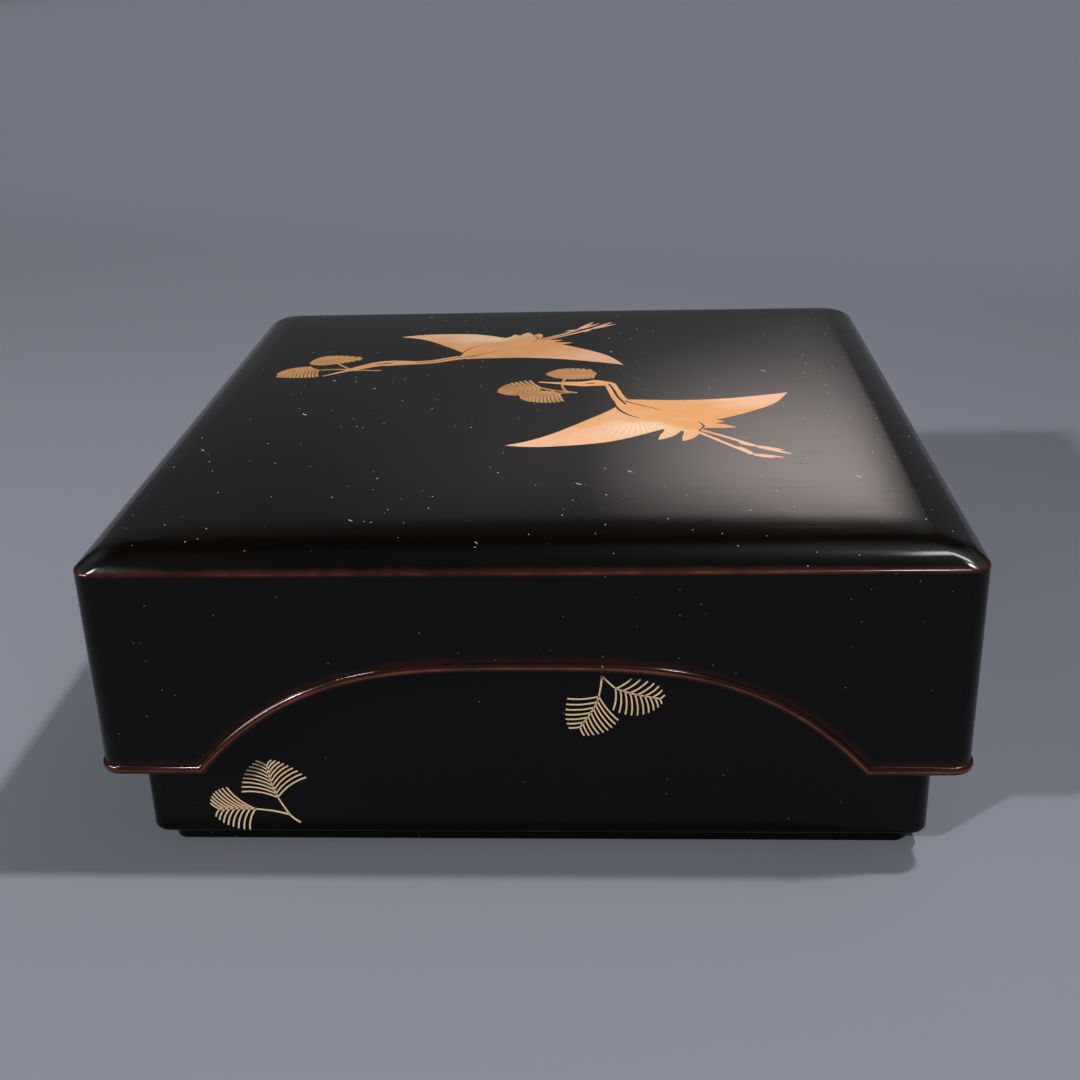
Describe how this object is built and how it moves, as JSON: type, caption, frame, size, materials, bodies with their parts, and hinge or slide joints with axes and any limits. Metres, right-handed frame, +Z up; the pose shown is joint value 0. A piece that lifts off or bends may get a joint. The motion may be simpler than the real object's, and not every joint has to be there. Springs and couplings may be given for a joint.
{
  "type": "lacquer box",
  "caption": "Rectangular black lacquer box with an overlapping lift-off lid, crowned on top and arched at the front and back for the fingers, on a low recessed foot.",
  "frame": {"origin": "under the middle of the box, on the surface that its foot stands on", "axes": "+Z up through the lid, +Y from the front to the back along the box's longer side, +X to the right"},
  "size_m": [0.2114, 0.2264, 0.0857],
  "materials": {
    "black_lacquer": "polished black lacquer on wood, rubbed through to red-brown at its edges",
    "gold_powder": "powdered gold pictures sprinkled into wet lacquer and polished"
  },
  "bodies": {
    "root": {"lid": "black_lacquer", "box_body": "black_lacquer"}
  },
  "joints": []
}
